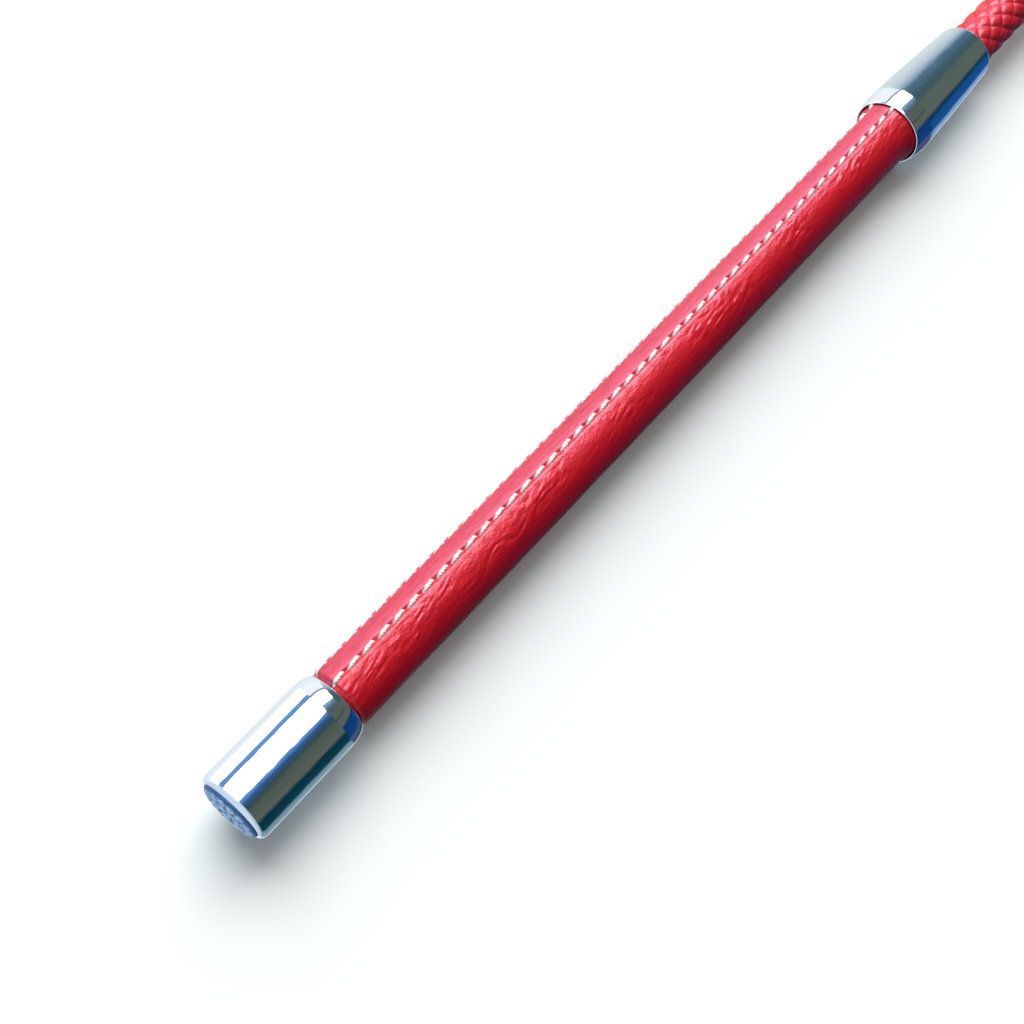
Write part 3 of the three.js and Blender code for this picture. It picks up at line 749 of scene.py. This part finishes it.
# ---------------------------------------------------------------------------------------------
# Keeper: a doubled flap of the same leather. Its neck is wrapped round the rod's end and
# flattens into the lower leaf; the upper leaf is sewn to it across its root.
# ---------------------------------------------------------------------------------------------
neck_from, neck_to = along("keeper_neck")
lower_from, lower_to = along("keeper_lower_leaf")
upper_from, upper_to = along("keeper_upper_leaf")
leaf_low, leaf_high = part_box("keeper_lower_leaf")
KEEPER_HALF_WIDTH = (leaf_high.y - leaf_low.y) / 2 / MM
LEAF_HALF = 0.8
LEAF_GAP = 0.3
ROOT_DROP = 0.6
ROOT_HALF_WIDTH = 4.5
KEEPER_CORNER = 7.0
NECK_RADIUS = 3.75
FLAT_FROM = lower_from + 30
FULL_WIDTH_AT = lower_from + 16
table = -AXIS_HEIGHT / MM


def leaf_height(x):
    """Height of the lower leaf's middle above the axis, in mm."""
    return -ROOT_DROP + (table + LEAF_HALF + ROOT_DROP) * smooth(x, lower_from, FLAT_FROM)


def leaf_half_width(x):
    spread = smooth(x, lower_from - 4, FULL_WIDTH_AT)
    grow = ROOT_HALF_WIDTH + (KEEPER_HALF_WIDTH - ROOT_HALF_WIDTH) * spread
    past = np.clip(x - (lower_to - KEEPER_CORNER), 0, KEEPER_CORNER)
    return grow - KEEPER_CORNER + np.sqrt(np.clip(KEEPER_CORNER ** 2 - past ** 2, 0, None))


def in_row(x, y, z):
    """Points in metres from x along the axis, y across it and z above it, in mm."""
    x, y, z = np.broadcast_arrays(x, y, z)
    return np.stack([RIM + x * MM, y * MM, AXIS_HEIGHT + z * MM], -1)


def corner_steps(start, stop):
    """Stations along a leaf, closer together round its corners."""
    straight = np.arange(start, stop - KEEPER_CORNER, 0.9)
    bend = stop - KEEPER_CORNER + KEEPER_CORNER * np.sin(np.radians(np.linspace(0, 88.5, 16)))
    return np.concatenate([straight, bend])[:, None]


keeper_look, pebbles, fine_grain, clouds, _ = red_leather("keeper_leather_red", 0.4)
raw_edge = keeper_look.mask("edge")
keeper_dye = keeper_look.mix(clouds.rise(0.3, 0.75), (0.30, 0.004, 0.012), (0.44, 0.007, 0.02))
keeper_look.set("Base Color", keeper_look.mix(raw_edge, keeper_dye, (0.10, 0.012, 0.014)))
keeper_look.set("Roughness", 0.34 + fine_grain * 0.18 + raw_edge * 0.15)
keeper_look.relief((1 - pebbles) * 0.5 + fine_grain * 0.5, 0.07)

section = np.radians(np.arange(40) * 9)[None, :]
cosine, sine = np.cos(section), np.sin(section)
flat_across = np.sign(cosine) * np.abs(cosine) ** 0.22
flat_up = np.sign(sine) * np.abs(sine) ** 0.55


def leaf(name, start, stop, lift, half, body, replaced, neck=False):
    """A leaf with pressed edges. The lower one starts as the round neck on the rod."""
    x = corner_steps(start, stop)
    flatness = smooth(x, neck_to - 6, lower_from + 7) if neck else 1 + 0 * x
    width = leaf_half_width(x)
    y = (1 - flatness) * NECK_RADIUS * cosine + flatness * width * flat_across
    bow = 0.25 * lattice_noise(x / 9, x * 0 + lift, 21) * smooth(x, lower_from + 4, lower_from + 16)
    on_neck = -ROOT_DROP * smooth(x, neck_to - 6, lower_from)
    middle = np.where(x < lower_from, on_neck, leaf_height(np.maximum(x, lower_from)))
    z = (1 - flatness) * NECK_RADIUS * sine + flatness * (half * flat_up)
    z = z + middle + lift + bow * 0.3 * (1 - smooth(x, FLAT_FROM - 6, FLAT_FROM))
    edge = smooth(np.abs(cosine), 0.9, 0.985) * flatness * (1 - smooth(np.abs(sine), 0.3, 0.75))
    sheet = np.stack(np.broadcast_arrays(x, y, sine * 3.0), -1)
    skin(name, in_row(x, y, z), keeper_look, body, replaced, caps=True,
         sheet=sheet, masks={"edge": np.broadcast_to(edge, y.shape)})


point = lambda x: (RIM + x * MM, 0, AXIS_HEIGHT)
leaf("keeper_lower", neck_from, lower_to, 0.0, LEAF_HALF,
     ("crop", "keeper", point(lower_from - 5), point(lower_from + 6)),
     ["keeper_neck", "keeper_lower_leaf"], neck=True)
upper_hinge = ("keeper", "keeper_top", point(upper_from + 1), point(upper_from + 13))
leaf("keeper_upper", upper_from, upper_to, 2 * LEAF_HALF + LEAF_GAP, LEAF_HALF, upper_hinge,
     ["keeper_upper_leaf"])

# The sewing: five stitches across the upper leaf's root, clear of its side edges.
SEW_INSET = 1.6
SEW_LIFT = 0.32
sew_x = upper_from + 2
sew_reach = float(leaf_half_width(np.array(sew_x))) - SEW_INSET
sew_top = float(leaf_height(np.array(sew_x))) + 3 * LEAF_HALF + SEW_LIFT
sew_slope = float(leaf_height(np.array(sew_x + 0.5)) - leaf_height(np.array(sew_x - 0.5)))


def across_keeper(run, aside, up):
    return in_row(sew_x + aside, run, sew_top + up + sew_slope * aside)


sew_count = 5
sew_pitch = 2 * sew_reach / sew_count
sew_middles = [-sew_reach + sew_pitch * (k + 0.5) for k in range(sew_count)]
stitch_row("keeper_stitches", sew_middles, sew_pitch * 0.9, THREAD, across_keeper, white_thread,
           upper_hinge, ["keeper_stitching"])


# ---------------------------------------------------------------------------------------------
# Studio: a white table in a room of coloured bands that run along the crop, a bright window on
# the far side and dark on the near side. The room is seen only in the gloss of a surface: it
# throws no light. The table takes the shadow, and is left out of gloss and of bounced light.
# ---------------------------------------------------------------------------------------------
table_mesh = bpy.data.meshes.new("table_top")
TABLE = 4.0
table_corners = [(TABLE * x, TABLE * y, 0) for x, y in ((-1, -1), (1, -1), (1, 1), (-1, 1))]
table_mesh.from_pydata(table_corners, [], [(0, 1, 2, 3)])
table_top = bpy.data.objects.new("table_top", table_mesh)
bpy.context.scene.collection.objects.link(table_top)
table_paint = Look("table_white", (0.79, 0.83, 0.825), 0.9, Specular_IOR_Level=0.0)
table_mesh.materials.append(table_paint.material)
table_top.visible_glossy = False
table_top.visible_diffuse = False

scene = bpy.context.scene
scene.view_settings.view_transform = "Standard"


class Room(Look):
    """The world's nodes, built as a look's are."""

    def __init__(self):
        world = bpy.data.worlds.new("studio_room")
        scene.world = world
        world.use_nodes = True
        self.tree = world.node_tree
        self.shader = self.tree.nodes["Background"]


# Bands of the room by their height round the crop's axis: -90 is under the table, 0 level on the
# far side, 90 overhead, 180 level on the near side and 270 under the table again. Each colour
# holds at its angle. The bands change along the crop in four zones, by how far the mirrored
# direction leans to the tip: beyond the butt, at the window, at the grip and towards the tip.
WHITE = (2.6, 2.6, 2.6)
OVERHEAD = (5.5, 5.5, 5.7)
window_side = [
    (-90, (0.72, 0.80, 0.88)), (-10, (0.82, 0.88, 0.94)), (8, WHITE), (30, WHITE),
    (35, (0.14, 0.30, 0.60)), (50, (0.12, 0.28, 0.60)), (54, OVERHEAD), (99, OVERHEAD),
    (111, (0.12, 0.30, 0.68)), (122, (0.03, 0.10, 0.27)), (137, (0.035, 0.07, 0.08)),
    (150, (0.075, 0.10, 0.085)), (184, (0.10, 0.12, 0.10)), (195, (0.002, 0.03, 0.05)),
    (226, (0.004, 0.045, 0.075)), (238, (0.16, 0.28, 0.35)), (270, (0.26, 0.38, 0.44)),
]
grip_side = [
    (-90, (0.60, 0.70, 0.73)), (10, (0.93, 0.97, 1.0)), (42, (0.90, 0.95, 1.0)),
    (47, (0.10, 0.22, 0.40)), (51, (0.10, 0.22, 0.40)), (57, (14, 13.5, 18)), (88, (14, 13.5, 18)),
    (92, (0.30, 0.46, 0.70)), (103, (0.12, 0.22, 0.30)), (112, (0.08, 0.12, 0.11)),
    (142, (0.09, 0.12, 0.10)), (147, (0.05, 0.08, 0.07)), (152, (0.10, 0.12, 0.10)),
    (168, (0.10, 0.12, 0.10)), (175, (0.005, 0.04, 0.16)), (218, (0.005, 0.05, 0.20)),
    (232, (0.06, 0.10, 0.19)), (270, (0.03, 0.05, 0.09)),
]
tip_side = [
    (-90, (0.75, 0.84, 0.86)), (0, (0.64, 0.73, 0.75)), (28, (0.48, 0.58, 0.68)),
    (46, (0.24, 0.36, 0.47)), (58, (0.08, 0.17, 0.24)), (88, (0.05, 0.11, 0.15)),
    (104, (0.05, 0.10, 0.10)), (120, (0.09, 0.125, 0.115)), (168, (0.10, 0.125, 0.11)),
    (182, (0.003, 0.03, 0.06)), (194, (0.006, 0.07, 0.25)), (228, (0.01, 0.085, 0.27)),
    (240, (0.20, 0.34, 0.60)), (270, (0.30, 0.42, 0.62)),
]
beyond_butt = [
    (-90, (0.55, 0.68, 0.82)), (30, (0.62, 0.74, 0.88)), (100, (0.75, 0.84, 0.95)),
    (150, (0.38, 0.50, 0.62)), (210, (0.24, 0.36, 0.44)), (270, (0.50, 0.62, 0.72)),
]
room = Room()
toward = room.node("ShaderNodeSeparateXYZ", None, {0: room.node("ShaderNodeTexCoord", output="Generated")})
look_x, look_y, look_z = (Num(room, toward.socket.node.outputs[i]) for i in range(3))
tilt = look_z.math("ARCTAN2", look_z, look_y) * (180 / math.pi)
tilt = (tilt + 450).math("MODULO", tilt + 450, 360.0) / 360


def bands(stops):
    placed = [((angle + 90) / 360, colour) for angle, colour in stops]
    return room.node("ShaderNodeValToRGB", {"stops": placed}, {0: tilt})


toward_butt = 1 - look_x.rise(-0.45, -0.28)
butt_colour = room.mix(look_x.rise(-0.75, -0.3), (0.62, 0.74, 0.86), bands(beyond_butt))
room_colour = room.mix(look_x.rise(0.22, 0.25), bands(window_side), bands(grip_side))
room_colour = room.mix(look_x.rise(0.68, 0.71), room_colour, bands(tip_side))
room_colour = room.mix(toward_butt, room_colour, butt_colour)
seen = room.node("ShaderNodeLightPath", output="Is Camera Ray")
room.feed(room.shader.inputs["Color"], room.mix(seen, room_colour, (1.0, 1.0, 1.0)))
room.feed(room.shader.inputs["Strength"], 1.0)
scene.world.cycles_visibility.diffuse = False


# The light on the matt part of each surface, hidden from its gloss: a broad light high on the
# far side towards the tip, which throws the soft shadow, and a weaker, broader one overhead.
def soft_light(name, direction, spread, strength):
    lamp = bpy.data.lights.new(name, "SUN")
    lamp.angle, lamp.energy = math.radians(spread), strength
    holder = bpy.data.objects.new(name, lamp)
    holder.rotation_euler = mathutils.Vector(direction).to_track_quat("Z", "Y").to_euler()
    holder.visible_glossy = False
    scene.collection.objects.link(holder)


soft_light("window_light", (0.85, 0.80, 1.0), 70, 4.4)
soft_light("room_light", (0.2, -0.1, 1.0), 95, 1.3)


# ---------------------------------------------------------------------------------------------
# Camera: a little beyond the butt, high over the near side, looking down along the grip to the
# ferrule.
# ---------------------------------------------------------------------------------------------
camera = bpy.data.objects.new("camera", bpy.data.cameras.new("camera"))
scene.collection.objects.link(camera)
scene.camera = camera
camera.data.sensor_width = 36.0
camera.data.lens = 52.48
camera.data.clip_start = 0.01
camera.location = (RIM - 36.8 * MM, -97.9 * MM, AXIS_HEIGHT + 263.5 * MM)
AZIMUTH, ELEVATION = -50.08, 59.62
camera.rotation_euler = (math.radians(90 - ELEVATION), 0, math.radians(AZIMUTH))
